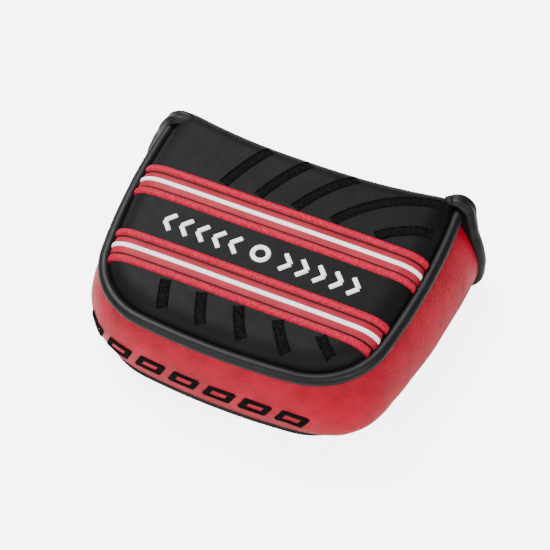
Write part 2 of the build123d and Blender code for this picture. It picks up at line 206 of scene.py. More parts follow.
def smooth_noise(x, y, z, size, seed):
    """Cheap smooth noise between -1 and 1 from a few crossed waves of about the given size."""
    rng = np.random.default_rng(seed)
    total = 0.0
    for _ in range(7):
        direction = rng.normal(size=3)
        direction /= np.linalg.norm(direction)
        length = size * rng.uniform(0.7, 1.6)
        phase = rng.uniform(0, 2 * math.pi)
        wave = (x * direction[0] + y * direction[1] + z * direction[2]) * 2 * math.pi / length
        total = total + np.sin(wave + phase)
    return total / 4.0


# ---------------------------------------------------------------- surfaces

def crowded_shares(count, fullness=0.96):
    """Shares across from -1 to 1, closer together towards both ends."""
    angles = np.linspace(-0.5, 0.5, count) * math.pi * fullness
    return np.sin(angles) / math.sin(fullness / 2 * math.pi)


def rim_profile(share):
    """Height of a padded rim, 0 to 1, for a share of the way in from its edge."""
    return (1 - (1 - share) ** 2.6) ** (1 / 1.9)


def end_tuck(share):
    """How far a lip turns back at its two ends."""
    return np.clip((np.abs(share) - 0.93) / 0.07, 0, 1) ** 2 * 1.8


def fold_y(x):
    """Front of the top fold, which sags back between the two corners."""
    return FRONT_Y - FOLD_SAG * (1 - np.clip(np.abs(x) / FOLD_HALF_WIDTH, 0, 1) ** 2.5)


def cap_height(x, y):
    """Height of the top panel: flat in the middle, rounded down to the piping."""
    depth = np.clip((seam_depth(x, y) - CAP_EDGE_DEPTH) / CAP_RIM_REACH, 0, 1)
    rim = rim_profile(depth)
    crown = 0.5 * np.clip(seam_depth(x, y) / 24, 0, 1)
    sag = 0.10 * smooth_noise(x, y, 0 * x, 34.0, 3)
    return CAP_EDGE_Z + (CAP_TOP - CAP_EDGE_Z) * rim + (crown - 0.3 + sag) * rim


def cap_point(x, y):
    """A point on the top panel and its normal."""
    step = 0.15
    z = cap_height(x, y)
    slope_x = (cap_height(x + step, y) - cap_height(x - step, y)) / (2 * step)
    slope_y = (cap_height(x, y + step) - cap_height(x, y - step)) / (2 * step)
    normal = np.stack([-slope_x, -slope_y, np.ones_like(z)], axis=-1)
    normal /= np.linalg.norm(normal, axis=-1, keepdims=True)
    fold = np.clip((y - (fold_y(x) - FOLD_RADIUS)) / FOLD_RADIUS, 0, 1)
    drop = FOLD_RADIUS * (1 - np.sqrt(np.clip(1 - fold**2, 0, 1)))
    return np.stack([x, y, z - drop], axis=-1), normal


def wall_shape(z):
    """Outset and splay of the side wall at a height, as a smooth curve through its sections."""
    heights, outsets, splays = zip(*WALL_SECTIONS)
    outset = np.polyval(np.polyfit(heights, outsets, 3), z)
    splay = np.polyval(np.polyfit(heights, splays, 3), z)
    return float(outset), float(splay)


def wall_row(z, inset, front, counts):
    """One level of the side wall: its points, and its outward normals."""
    outset, splay = wall_shape(min(max(z, FOOT_WALL_Z), TOP_WALL_Z))
    points, normals = full_outline(outset - inset, splay, front, counts)
    share = min(max((z - FOOT_WALL_Z) / (TOP_WALL_Z - FOOT_WALL_Z), 0), 1)
    sideways = np.clip(np.abs(normals[:, 0]) * 1.6, 0, 1) ** 1.5
    fullness = np.where(points[:, 0] > 0, SWELL_RIGHT, SWELL_LEFT) * sideways
    heading = np.degrees(np.arctan2(normals[:, 1], normals[:, 0]))
    fullness = fullness + SWELL_CORNER * np.exp(-(((heading + 42) / 30) ** 2))
    swell = fullness * math.sin(math.pi * share**0.8) ** 0.8
    return points + normals * swell[:, None], normals


def end_y(z):
    """Where the side wall ends at the mouth: set back at half height."""
    middle = (FOOT_WALL_Z + TOP_WALL_Z) / 2
    share = (z - middle) / (TOP_WALL_Z - middle)
    return 38.6 + 3.6 * share**2


# ---------------------------------------------------------------- mesh helpers

def make_mesh(name, vertices, faces, material, body):
    """A piece from millimetre vertices, shaded smooth and riding on a body unless it is None."""
    mesh = bpy.data.meshes.new(name)
    mesh.from_pydata((np.asarray(vertices) * MM).tolist(), [], faces)
    mesh.validate()
    mesh.update()
    mesh.shade_smooth()
    piece = bpy.data.objects.new(name, mesh)
    bpy.context.scene.collection.objects.link(piece)
    mesh.materials.append(material)
    if body:
        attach(piece, body)
    return piece


def grid_faces(rows, columns, start=0, close_columns=False, flip=False):
    """Quads of a rows x columns grid of vertices."""
    faces = []
    for r in range(rows - 1):
        for c in range(columns if close_columns else columns - 1):
            a = start + r * columns + c
            b = start + r * columns + (c + 1) % columns
            d = start + (r + 1) * columns + c
            e = start + (r + 1) * columns + (c + 1) % columns
            faces.append((a, d, e, b) if flip else (a, b, e, d))
    return faces


def grid_mesh(name, grid, material, body, flip=False):
    """A piece from a rows x columns x 3 array."""
    rows, columns = grid.shape[:2]
    faces = grid_faces(rows, columns, flip=flip)
    return make_mesh(name, grid.reshape(-1, 3), faces, material, body)


def join_grids(name, grids, material, body):
    """One piece from several separate grids."""
    vertices = []
    faces = []
    for grid in grids:
        rows, columns = grid.shape[:2]
        faces += grid_faces(rows, columns, start=len(vertices))
        vertices.extend(grid.reshape(-1, 3))
    return make_mesh(name, np.array(vertices), faces, material, body)


def tangents(path):
    """Unit directions along a polyline."""
    direction = np.gradient(path, axis=0)
    return direction / np.linalg.norm(direction, axis=1, keepdims=True)


def resample(path, step):
    """The polyline again, with points about one step apart."""
    path = np.asarray(path, dtype=float)
    along = np.concatenate([[0], np.cumsum(np.linalg.norm(np.diff(path, axis=0), axis=1))])
    count = max(3, int(along[-1] / step) + 1)
    wanted = np.linspace(0, along[-1], count)
    return np.stack([np.interp(wanted, along, path[:, k]) for k in range(path.shape[1])], axis=1)


def tube_grid(path, radius, sides, up):
    """Rings round a path; radius may be one number or one for each point."""
    path = np.asarray(path, dtype=float)
    radius = np.broadcast_to(radius, len(path))
    direction = tangents(path)
    side = np.cross(direction, np.array(up, dtype=float))
    side /= np.linalg.norm(side, axis=1, keepdims=True)
    above = np.cross(side, direction)
    angles = np.linspace(0, 2 * math.pi, sides, endpoint=False)
    return (
        path[:, None, :]
        + side[:, None, :] * np.cos(angles)[None, :, None] * radius[:, None, None]
        + above[:, None, :] * np.sin(angles)[None, :, None] * radius[:, None, None]
    )


def tube(name, path, radius, material, body, sides):
    """A closed tube along a path."""
    rings = tube_grid(path, radius, sides, up=(0, 0, 1))
    count = len(rings)
    faces = grid_faces(count, sides, close_columns=True)
    faces.append(tuple(range(sides))[::-1])
    faces.append(tuple((count - 1) * sides + k for k in range(sides)))
    return make_mesh(name, rings.reshape(-1, 3), faces, material, body)


def satin_grid(path, width, surface, rise, thread=THREAD, rib=0.10, sink=0.25, slant=0.0):
    """Raised satin stitch along a plan path: rounded across, ribbed by its threads."""
    path = resample(path, thread / 4)
    direction = tangents(path)
    side = np.stack([-direction[:, 1], direction[:, 0]], axis=1)
    share = np.linspace(-1, 1, 9)
    width = np.broadcast_to(width, len(path))
    along = np.arange(len(path)) * thread / 4
    x = path[:, None, 0] + side[:, None, 0] * share[None, :] * width[:, None] / 2
    y = path[:, None, 1] + side[:, None, 1] * share[None, :] * width[:, None] / 2
    points, normals = surface(x, y)
    phase = (along[:, None] + slant * share[None, :] * width[:, None] / 2) / thread
    ribs = np.abs(np.sin(math.pi * phase)) * rib
    dome = np.sqrt(np.clip(1 - share**2, 0, 1))[None, :] ** 0.8
    height = (rise - rib) * dome + ribs * dome - sink * (1 - dome)
    ends = np.minimum(along, along[-1] - along) / 0.35
    height = height * np.clip(ends, 0, 1)[:, None] ** 0.5 - 0.1 * (ends[:, None] < 1)
    return points + normals * height[..., None]


# ---------------------------------------------------------------- materials

class Shader:
    """A small helper that builds one procedural material node by node."""

    def __init__(self, name, roughness, specular):
        self.material = bpy.data.materials.new(name)
        self.material.use_nodes = True
        self.tree = self.material.node_tree
        self.surface = self.tree.nodes["Principled BSDF"]
        self.surface.inputs["Roughness"].default_value = roughness
        self.surface.inputs["Specular IOR Level"].default_value = specular
        self.place = self.node("ShaderNodeTexCoord").outputs["Object"]

    def node(self, kind):
        """A new node in this material."""
        return self.tree.nodes.new(kind)

    def link(self, output, socket):
        """Joins an output to an input."""
        self.tree.links.new(output, socket)

    def noise(self, size, detail=4.0, roughness=0.55):
        """Noise with features of about size millimetres."""
        made = self.node("ShaderNodeTexNoise")
        made.inputs["Scale"].default_value = 1.0 / (size * MM)
        made.inputs["Detail"].default_value = detail
        made.inputs["Roughness"].default_value = roughness
        self.link(self.place, made.inputs["Vector"])
        return made.outputs["Fac"]

    def cells(self, size, randomness=1.0):
        """Voronoi distance with cells of about size millimetres."""
        made = self.node("ShaderNodeTexVoronoi")
        made.inputs["Scale"].default_value = 1.0 / (size * MM)
        made.inputs["Randomness"].default_value = randomness
        self.link(self.place, made.inputs["Vector"])
        return made.outputs["Distance"]

    def mix(self, low, high, factor, start=0.35, end=0.65):
        """A colour that runs from low to high as factor goes from start to end."""
        ramp = self.node("ShaderNodeValToRGB")
        ramp.color_ramp.elements[0].position = start
        ramp.color_ramp.elements[0].color = (*low, 1)
        ramp.color_ramp.elements[1].position = end
        ramp.color_ramp.elements[1].color = (*high, 1)
        self.link(factor, ramp.inputs["Fac"])
        return ramp.outputs["Color"]

    def spread(self, factor, low, high):
        """factor's 0 to 1 mapped to low to high."""
        made = self.node("ShaderNodeMapRange")
        made.inputs["To Min"].default_value = low
        made.inputs["To Max"].default_value = high
        self.link(factor, made.inputs["Value"])
        return made.outputs["Result"]

    def bump(self, height, strength, distance, before=None):
        """A bump of distance millimetres, on top of an earlier one."""
        made = self.node("ShaderNodeBump")
        made.inputs["Strength"].default_value = strength
        made.inputs["Distance"].default_value = distance * MM
        self.link(height, made.inputs["Height"])
        if before is not None:
            self.link(before, made.inputs["Normal"])
        return made.outputs["Normal"]

    def finish(self, colour, roughness, normal):
        """The material, with its colour, its roughness unless that is even, and its bump."""
        self.link(colour, self.surface.inputs["Base Color"])
        if roughness is not None:
            self.link(roughness, self.surface.inputs["Roughness"])
        self.link(normal, self.surface.inputs["Normal"])
        return self.material


def leather_material(name, dark, light, roughness, grain, grain_depth, specular):
    """Synthetic leather: pebbled grain, faint mottling, uneven gloss."""
    shader = Shader(name, roughness, specular)
    mottle = shader.noise(9.0, detail=5.0)
    pebbles = shader.cells(grain)
    pores = shader.noise(grain * 0.4, detail=2.0)
    creases = shader.noise(5.0, detail=6.0, roughness=0.6)
    normal = shader.bump(pebbles, 0.9, grain_depth)
    normal = shader.bump(pores, 0.5, grain_depth * 0.5, normal)
    normal = shader.bump(creases, 0.35, 0.25, normal)
    return shader.finish(
        shader.mix(dark, light, mottle),
        shader.spread(shader.noise(4.0), roughness - 0.07, roughness + 0.09),
        normal,
    )


def thread_material(name, dark, light, roughness, sheen=0.3, specular=0.18):
    """Satin-stitch thread: fine fibres, soft gloss and slight shade changes."""
    shader = Shader(name, roughness, specular)
    shade = shader.noise(0.9, detail=3.0)
    fibres = shader.noise(0.12, detail=2.0)
    shader.surface.inputs["Sheen Weight"].default_value = sheen
    shader.surface.inputs["Sheen Roughness"].default_value = 0.35
    shader.surface.inputs["Anisotropic"].default_value = 0.4
    return shader.finish(
        shader.mix(dark, light, shade),
        shader.spread(fibres, roughness - 0.08, roughness + 0.12),
        shader.bump(fibres, 0.7, 0.09),
    )


def tape_material():
    """Woven binding tape with fine ribs."""
    shader = Shader("black_tape", 0.75, 0.15)
    weave = shader.cells(0.45, randomness=0.2)
    fuzz = shader.noise(0.2, detail=2.0)
    shader.surface.inputs["Sheen Weight"].default_value = 0.05
    normal = shader.bump(weave, 0.8, 0.12)
    return shader.finish(
        shader.mix((0.005, 0.005, 0.006), (0.013, 0.013, 0.014), weave, 0.1, 0.7),
        shader.spread(fuzz, 0.66, 0.86),
        shader.bump(fuzz, 0.4, 0.05, normal),
    )


def plush_material():
    """Short charcoal pile."""
    shader = Shader("grey_plush", 0.95, 0.15)
    pile = shader.noise(0.55, detail=4.0, roughness=0.7)
    nap = shader.noise(11.0, detail=3.0)
    shader.surface.inputs["Sheen Weight"].default_value = 0.7
    shader.surface.inputs["Sheen Roughness"].default_value = 0.6
    shader.surface.inputs["Sheen Tint"].default_value = (0.5, 0.5, 0.53, 1)
    return shader.finish(
        shader.mix((0.05, 0.05, 0.054), (0.13, 0.13, 0.138), nap),
        None,
        shader.bump(pile, 1.0, 0.5),
    )


def foam_material():
    """Open-cell foam."""
    shader = Shader("foam", 0.9, 0.2)
    cells = shader.cells(0.7)
    return shader.finish(
        shader.mix((0.10, 0.10, 0.105), (0.24, 0.24, 0.25), cells, 0.1, 0.6),
        None,
        shader.bump(cells, 0.8, 0.3),
    )


def cord_material():
    """Twisted cotton filler cord."""
    shader = Shader("cotton_cord", 0.9, 0.2)
    fibres = shader.noise(0.35, detail=3.0)
    return shader.finish(
        shader.mix((0.42, 0.39, 0.33), (0.62, 0.59, 0.52), fibres),
        None,
        shader.bump(fibres, 0.7, 0.15),
    )


def magnet_material():
    """Nickel-plated magnet with faint tumbling marks."""
    shader = Shader("magnet", 0.28, 0.5)
    shader.surface.inputs["Metallic"].default_value = 1.0
    marks = shader.noise(0.8, detail=5.0)
    return shader.finish(
        shader.mix((0.48, 0.47, 0.46), (0.60, 0.59, 0.58), marks),
        shader.spread(marks, 0.2, 0.4),
        shader.bump(marks, 0.2, 0.02),
    )


BLACK_LEATHER = leather_material(
    "black_leather", (0.0024, 0.0026, 0.0029), (0.0038, 0.0040, 0.0044), 0.55, 0.55, 0.04, 0.10
)
BLACK_PIPING = leather_material(
    "black_piping", (0.0028, 0.0030, 0.0034), (0.0050, 0.0053, 0.0058), 0.44, 0.5, 0.04, 0.2
)
RED_LEATHER = leather_material(
    "red_leather", (0.290, 0.0003, 0.0105), (0.390, 0.0008, 0.0190), 0.40, 0.6, 0.14, 0.13
)
RED_STRIP = leather_material(
    "red_strip", (0.250, 0.0050, 0.0180), (0.310, 0.0080, 0.0240), 0.55, 0.45, 0.035, 0.2
)
RED_SATIN = thread_material("red_satin", (0.27, 0.000, 0.014), (0.46, 0.001, 0.030), 0.5, 0.0)
WHITE_THREAD = thread_material("white_embroidery", (0.86, 0.85, 0.86), (0.97, 0.97, 0.97), 0.5, 0.1)
BLACK_THREAD = thread_material(
    "black_embroidery", (0.0006, 0.0006, 0.0007), (0.0062, 0.0062, 0.0068), 0.75, 0.0, 0.04
)
STITCH_THREAD = thread_material("stitch_thread", (0.010, 0.010, 0.011), (0.03, 0.03, 0.032), 0.5)
BLACK_TAPE = tape_material()
PLUSH = plush_material()
FOAM = foam_material()
CORD = cord_material()
MAGNET = magnet_material()

CAD_MATERIALS = {
    "side_foam": FOAM,
    "bottom_foam": FOAM,
    "top_piping_cord": CORD,
    "bottom_piping_cord": CORD,
    "upper_lip_magnets": MAGNET,
    "lower_lip_magnets": MAGNET,
}


def dress_cad_nodes():
    """Gives the CAD nodes that stay their materials."""
    for node, material in CAD_MATERIALS.items():
        piece = bpy.data.objects[node]
        for slot in piece.material_slots:
            slot.material = material


# ---------------------------------------------------------------- leather panels and piping

def lip_half_width(z):
    """Half the width of the mouth at a height: the cap's above the seam, the wall's below."""
    cap_side = half_outline(-CAP_EDGE_DEPTH, 0, FRONT_Y)[0][-1][0]
    outset, splay = wall_shape(min(max(z, FOOT_WALL_Z), TOP_WALL_Z))
    wall_side = half_outline(outset - 0.9, splay, FRONT_Y)[0][-1][0]
    share = min(max((z - FOOT_WALL_Z) / (TOP_WALL_Z - FOOT_WALL_Z), 0), 1)
    wall_side += 1.5 * math.sin(math.pi * share) - 1.6 + 0.8 * (1 - share)
    blend = np.clip((TOP_WALL_Z + 3.5 - z) / 5.0, 0, 1)
    return cap_side - 0.6 + (wall_side + 0.6 - cap_side) * blend


def scallop(x):
    """How far the upper lip's free edge rises for the shaft."""
    half = 23.0
    rise = 6.0
    radius = (half**2 + rise**2) / (2 * rise)
    lift = np.sqrt(np.clip(radius**2 - x**2, 0, None)) - (radius - rise)
    return np.clip(lift, 0, None)


def upper_edge_z(x):
    """Free edge of the upper lip."""
    return UPPER_EDGE - 0.55 + scallop(x)


def lip_front(x, z, upper):
    """Front face of the lips: it sags with the fold and fills out over the magnets."""
    sag = LIP_SAG * (1 - np.clip(np.abs(x) / 58.0, 0, 1) ** 2.2)
    if upper:
        near_fold = (FRONT_Y - fold_y(x)) * np.clip((z - 30.0) / 8.0, 0, 1) ** 1.3
        between_magnets = 1 - np.clip(np.abs(x) / 36.0, 0, 1) ** 2
        hollow = FOLD_SAG * between_magnets * np.clip((z - 19.0) / 14.0, 0, 1)
        sag = np.maximum(sag, np.maximum(near_fold, hollow))
    base = FRONT_Y - sag
    middle = 30.0 if upper else 10.0
    swell = 0.4 * np.exp(-((z - middle) / 7.0) ** 2)
    return base + swell + 0.10 * smooth_noise(x, 0 * x, z, 26.0, 9)


def build_top_panel():
    """One leather skin: the top panel, its fold and the front of the upper lip."""
    boundary, _ = half_outline(-CAP_EDGE_DEPTH, 0, FRONT_Y - FOLD_RADIUS, (12, 70, 130))
    share = crowded_shares(181)
    front = FRONT_Y - FOLD_RADIUS
    rows = []
    for half, y in boundary[1:]:
        x = share * half
        back_row = y / front
        sag = (FRONT_Y - fold_y(x)) * np.clip(back_row, 0, 1) ** 3
        rows.append(cap_point(x, y - sag)[0])
    side = boundary[-1][0]
    for angle in np.linspace(0, math.pi / 2, 22)[1:]:
        x = share * side
        edge_depth = np.clip((side - np.abs(x)) / CAP_RIM_REACH, 0, 1)
        rim = rim_profile(edge_depth)
        top = rows[len(boundary) - 2]
        y = top[:, 1] + FOLD_RADIUS * math.sin(angle)
        drop = FOLD_RADIUS * (1 - math.cos(angle))
        z = top[:, 2] - drop * (0.35 + 0.65 * rim)
        rows.append(np.stack([x, y, z], axis=1))
    start = rows[-1]
    for step in np.linspace(0, 1, 40)[1:]:
        z_target = upper_edge_z(start[:, 0])
        z = start[:, 2] + (z_target - start[:, 2]) * step
        widths = np.array([lip_half_width(value) for value in z])
        x = share * widths
        z = start[:, 2] + (upper_edge_z(x) - start[:, 2]) * step
        y = lip_front(x, z, True)
        y = start[:, 1] + (y - start[:, 1]) * min(1.0, step * 3)
        rows.append(np.stack([x, y - end_tuck(share), z], axis=1))
    piece = grid_mesh("top_panel_leather", np.array(rows), BLACK_LEATHER, None)
    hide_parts("top_panel", "upper_lip_panel")
    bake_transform(piece)


def build_side_wall():
    """The red leather wall: it swells between its seams, with slack ripples near the corners."""
    rows = []
    for z in np.linspace(FOOT_WALL_Z - 0.6, TOP_WALL_Z + 1.2, 64):
        inside = min(max(z, FOOT_WALL_Z), TOP_WALL_Z)
        tuck = 0.5 * max(0.0, z - TOP_WALL_Z) + 1.0 * max(0.0, FOOT_WALL_Z - z)
        points, normals = wall_row(inside, tuck, end_y(inside), (16, 70, 110))
        belly = math.sin(math.pi * (inside - FOOT_WALL_Z) / (TOP_WALL_Z - FOOT_WALL_Z))
        x, y = points[:, 0], points[:, 1]
        slack = 0.20 * smooth_noise(x, y, 0 * x + z * 0.35, 19.0, 5) * belly
        slack += 0.05 * smooth_noise(x, y, 0 * x + z, 6.0, 6) * belly
        points = points + normals * slack[:, None]
        rows.append(np.column_stack([points, np.full(len(points), z)]))
    piece = grid_mesh("side_wall_leather", np.array(rows), RED_LEATHER, "shell")
    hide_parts("side_panel")


def piping_line(height, offset, splay, front, step):
    """The centre line of a piping."""
    points, _ = full_outline(offset, splay, front)
    path = np.column_stack([points, np.full(len(points), height)])
    return resample(path, step)


def build_piping():
    """Two corded pipings; the upper one is uneven where the sleeve is sewn down."""
    under_binding = 2.0
    path = piping_line(PIPING_Z, -PIPING_RADIUS, 0, PIPING_FRONT + under_binding, 0.8)
    radius = PIPING_RADIUS + 0.05 * smooth_noise(path[:, 0], path[:, 1], path[:, 2], 9.0, 12)
    piece = tube("top_piping_sleeve", path, radius, BLACK_PIPING, "shell", 32)
    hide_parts("top_piping")
    path = piping_line(FOOT_Z, -1.0, FOOT_SPLAY, FOOT_HIGH[1] + 0.5, 1.2)
    piece = tube("bottom_piping_sleeve", path, FOOT_RADIUS * 0.92, BLACK_PIPING, "shell", 20)
    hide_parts("bottom_piping")


# ---------------------------------------------------------------- embroidery on the top

def cap_half_width(y, depth):
    """Half the width of the top panel at a Y, measured to a depth inside the seam."""
    low, high = 0.0, 70.0
    for _ in range(40):
        middle = (low + high) / 2
        if float(seam_depth(np.array(middle), np.array(y))) > depth:
            low = middle
        else:
            high = middle
    return low


def build_bands():
    """Two bands: a smooth strip with a white line on it, between raised satin borders."""
    for name, middle in zip(("front", "rear"), BAND_Y):
        reach = cap_half_width(middle, CAP_EDGE_DEPTH + 0.15)
        share = crowded_shares(241, 0.97)
        across = np.linspace(-1, 1, 17) * (STRIP_WIDTH / 2 - 0.2)
        x, y = np.meshgrid(share * reach, middle + across)
        points, normals = cap_point(x, y)
        puff = 0.50 * (1 - np.abs(across / across[-1]) ** 4) - 0.15
        strip = points + normals * puff[:, None, None]
        piece = grid_mesh(f"{name}_band_leather", strip, RED_STRIP, "shell")
        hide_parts(f"{name}_band_strip")

        line = satin_grid([(-reach, middle), (reach, middle)], LINE_WIDTH, cap_point, 0.85)
        piece = grid_mesh(f"{name}_band_white", line, WHITE_THREAD, "shell")
        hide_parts(f"{name}_band_line")

        borders = []
        for way in (-1, 1):
            y = middle + way * SATIN_OFFSET
            end = cap_half_width(y, CAP_EDGE_DEPTH + 0.1)
            borders.append(
                satin_grid(
                    [(-end, y), (end, y)],
                    SATIN_WIDTH - 0.1,
                    cap_point,
                    rise=1.0,
                    thread=0.85,
                    rib=0.22,
                    slant=0.3,
                )
            )
        piece = join_grids(f"{name}_band_borders", borders, RED_SATIN, "shell")
        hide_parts(f"{name}_band_satin")


def build_emblem():
    """A satin-stitched ring with chevrons pointing away from it on both sides."""
    angles = np.linspace(0, 2 * math.pi, 90)
    radius = (EMBLEM_HEIGHT - EMBLEM_STROKE) / 2
    ring = np.column_stack([radius * np.cos(angles), EMBLEM_Y + radius * np.sin(angles)])
    stroke = EMBLEM_STROKE * EMBLEM_SPREAD
    grids = [satin_grid(ring, stroke, cap_point, 0.7)]
    half = EMBLEM_HEIGHT / 2
    for number in range(CHEVRON_COUNT):
        start = CHEVRON_START + number * CHEVRON_PITCH + EMBLEM_STROKE / 2
        for way in (1, -1):
            tip = (way * (start + CHEVRON_DEPTH), EMBLEM_Y)
            for side in (1, -1):
                end = (way * start, EMBLEM_Y + side * half)
                grids.append(satin_grid([end, tip], stroke, cap_point, 0.7))
    piece = join_grids("emblem_stitching", grids, WHITE_THREAD, "shell")
    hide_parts("chevron_emblem")


def runs_of(x, y, keep):
    """The unbroken stretches of a path that are kept."""
    marks = np.flatnonzero(np.diff(np.concatenate([[0], keep.astype(int), [0]])))
    return [np.column_stack([x[a:b], y[a:b]]) for a, b in zip(marks[::2], marks[1::2])]


def build_ripples():
    """Tone-on-tone arcs about one centre, left out over the bands and the emblem."""
    half_band = SATIN_OFFSET + SATIN_WIDTH / 2 + 0.6
    low = BAND_Y[1] - half_band
    high = BAND_Y[0] + half_band
    angles = np.radians(np.linspace(-90, 270, 2400))
    outline = RIPPLE_WIDTH / 2 - 0.35
    # Each ripple is a flat filling between two raised outlines: offset, width, rise, thread.
    lanes = (
        (0.0, RIPPLE_WIDTH - 0.4, 0.30, 0.75),
        (outline, RIPPLE_LINE, 0.55, 0.5),
        (-outline, RIPPLE_LINE, 0.55, 0.5),
    )
    shortest_run = 12
    grids = []
    for radius in RIPPLE_RADII:
        x = RIPPLE_CENTRE[0] + radius * np.cos(angles)
        y = RIPPLE_CENTRE[1] + radius * np.sin(angles)
        inside = (seam_depth(x, y) > CAP_EDGE_DEPTH + 3.0) & (y < fold_y(x) - 4.0)
        keep = inside & ((y > high) | (y < low))
        for offset, width, rise, thread in lanes:
            x = RIPPLE_CENTRE[0] + (radius + offset) * np.cos(angles)
            y = RIPPLE_CENTRE[1] + (radius + offset) * np.sin(angles)
            for run in runs_of(x, y, keep):
                if len(run) > shortest_run:
                    grids.append(
                        satin_grid(run, width, cap_point, rise, thread, rib=0.14, slant=0.6)
                    )
    piece = join_grids("ripple_stitching", grids, BLACK_THREAD, "shell")
    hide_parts("ripple_embroidery")


# ---------------------------------------------------------------- embroidery on the wall

def wall_surface(middle_z):
    """A surface function: length along the wall and height to a point and its normal."""
    levels = np.linspace(FOOT_WALL_Z, TOP_WALL_Z, 40)
    rows = np.array([wall_row(z, 0, 38.0, (40, 120, 120))[0] for z in levels])
    middle, normals = wall_row(middle_z, 0, 38.0, (40, 120, 120))
    along = np.concatenate([[0], np.cumsum(np.linalg.norm(np.diff(middle, axis=0), axis=1))])
    along -= along[-1] / 2

    def surface(length, rise):
        """The point at a length along the wall and a rise above its middle, and its normal."""
        column = np.interp(length, along, np.arange(len(along)))
        level = np.interp(middle_z + rise, levels, np.arange(len(levels)))
        c0 = np.clip(column.astype(int), 0, len(along) - 2)
        l0 = np.clip(level.astype(int), 0, len(levels) - 2)
        cf = (column - c0)[..., None]
        lf = (level - l0)[..., None]
        low = rows[l0, c0] * (1 - cf) + rows[l0, c0 + 1] * cf
        high = rows[l0 + 1, c0] * (1 - cf) + rows[l0 + 1, c0 + 1] * cf
        place = low * (1 - lf) + high * lf
        normal = normals[c0]
        normal = np.concatenate([normal, np.zeros_like(normal[..., :1])], axis=-1)
        return np.concatenate([place, (middle_z + rise)[..., None]], axis=-1), normal

    return surface


def build_lozenges():
    """A row of slanted lozenge rings in black satin stitch round the rear of the wall."""
    surface = wall_surface(LOZENGE_Z)
    width, height = LOZENGE_SIZE
    stroke = LOZENGE_STROKE * LOZENGE_SPREAD
    grids = []
    for number in range(LOZENGE_COUNT):
        middle = LOZENGE_START + number * LOZENGE_PITCH
        half_w = (width - LOZENGE_STROKE) / 2
        half_h = (height - LOZENGE_STROKE) / 2
        lean = LOZENGE_SLANT / 2
        corners = [
            (middle - half_w - lean, -half_h),
            (middle + half_w - lean, -half_h),
            (middle + half_w + lean, half_h),
            (middle - half_w + lean, half_h),
        ]
        for k in range(4):
            a = np.array(corners[k])
            b = np.array(corners[(k + 1) % 4])
            reach = (b - a) / np.linalg.norm(b - a) * LOZENGE_STROKE * 0.42
            grids.append(satin_grid([a - reach, b + reach], stroke, surface, 0.6, sink=0.35))
    piece = join_grids("lozenge_stitching", grids, BLACK_THREAD, "shell")
    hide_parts("lozenge_embroidery")


# ---------------------------------------------------------------- bottom and lips

def build_bottom_panel():
    """One leather skin: the flat bottom, its fold and the front of the lower lip."""
    radius = BOTTOM_FOLD_RADIUS
    boundary, _ = half_outline(-2.0, FOOT_SPLAY, FRONT_Y - radius, (12, 60, 60))
    share = crowded_shares(121)
    rows = []
    for half, y in boundary[1:]:
        x = share * half
        sag = LIP_SAG * (1 - np.abs(x / 60.0) ** 2.2) * np.clip(y / 42.0, 0, 1) ** 3
        edge = np.clip(np.abs(share), 0, 1) ** 12 * 0.8
        rows.append(np.stack([x, y - sag, 0.05 + edge], axis=1))
    last = rows[-1]
    for angle in np.linspace(0, math.pi / 2, 16)[1:]:
        y = last[:, 1] + radius * math.sin(angle)
        z = last[:, 2] + radius * (1 - math.cos(angle))
        rows.append(np.stack([last[:, 0], y, z], axis=1))
    start = rows[-1]
    top_z = LOWER_EDGE + 0.45
    for step in np.linspace(0, 1, 26)[1:]:
        z = start[:, 2] + (top_z - start[:, 2]) * step
        width = lip_half_width(float(z[0]))
        widen = min(1, step * 4)
        x = share * (width * widen + boundary[-1][0] * (1 - widen))
        y = lip_front(x, z, False)
        y = start[:, 1] + (y - start[:, 1]) * min(1.0, step * 3)
        rows.append(np.stack([x, y - end_tuck(share), z], axis=1))
    piece = grid_mesh("bottom_panel_leather", np.array(rows), BLACK_LEATHER, None, flip=True)
    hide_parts("bottom_panel", "lower_lip_panel")
    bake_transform(piece)


def build_lip_padding(upper):
    """The foam and lining of a lip as one soft closed form behind its leather."""
    name = "upper_lip" if upper else "lower_lip"
    columns = np.linspace(-1, 1, 91)
    inside_tape = 0.9
    half_thickness = 1.6
    behind_leather = 2.8
    fold_clearance = 1.6
    short_of_corner = 2.2
    low = UPPER_EDGE + inside_tape if upper else 3.5
    high = CAP_TOP - 8.5 if upper else LOWER_EDGE - inside_tape
    ring_count = 40
    rows = []
    for share in columns:
        ring = []
        for angle in np.linspace(0, 2 * math.pi, ring_count, endpoint=False):
            up = math.sin(angle)
            out = math.cos(angle)
            up = math.copysign(abs(up) ** 0.45, up)
            out = math.copysign(abs(out) ** 0.6, out)
            base_low = low
            half = lip_half_width((low + high) / 2 + up * (high - low) / 2) - short_of_corner
            x = share * half
            if upper:
                base_low = low + float(scallop(np.array(x)))
            z = (base_low + high) / 2 + up * (high - base_low) / 2
            end = 1 - abs(share) ** 14 * 0.5
            middle_y = float(lip_front(np.array(x), np.array(z), upper)) - behind_leather
            fold_side = fold_clearance * np.clip((z - 26.0) / 6.0, 0, 1) if upper else 0.0
            ring.append((x, middle_y - fold_side + out * half_thickness * end, z))
        rows.append(ring)
    grid = np.array(rows)
    faces = grid_faces(len(columns), ring_count, close_columns=True, flip=True)
    faces.append(tuple(range(ring_count)))
    faces.append(tuple((len(columns) - 1) * ring_count + k for k in range(ring_count))[::-1])
    piece = make_mesh(f"{name}_plush", grid.reshape(-1, 3), faces, PLUSH, name)
    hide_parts(f"{name}_foam", f"{name}_lining")


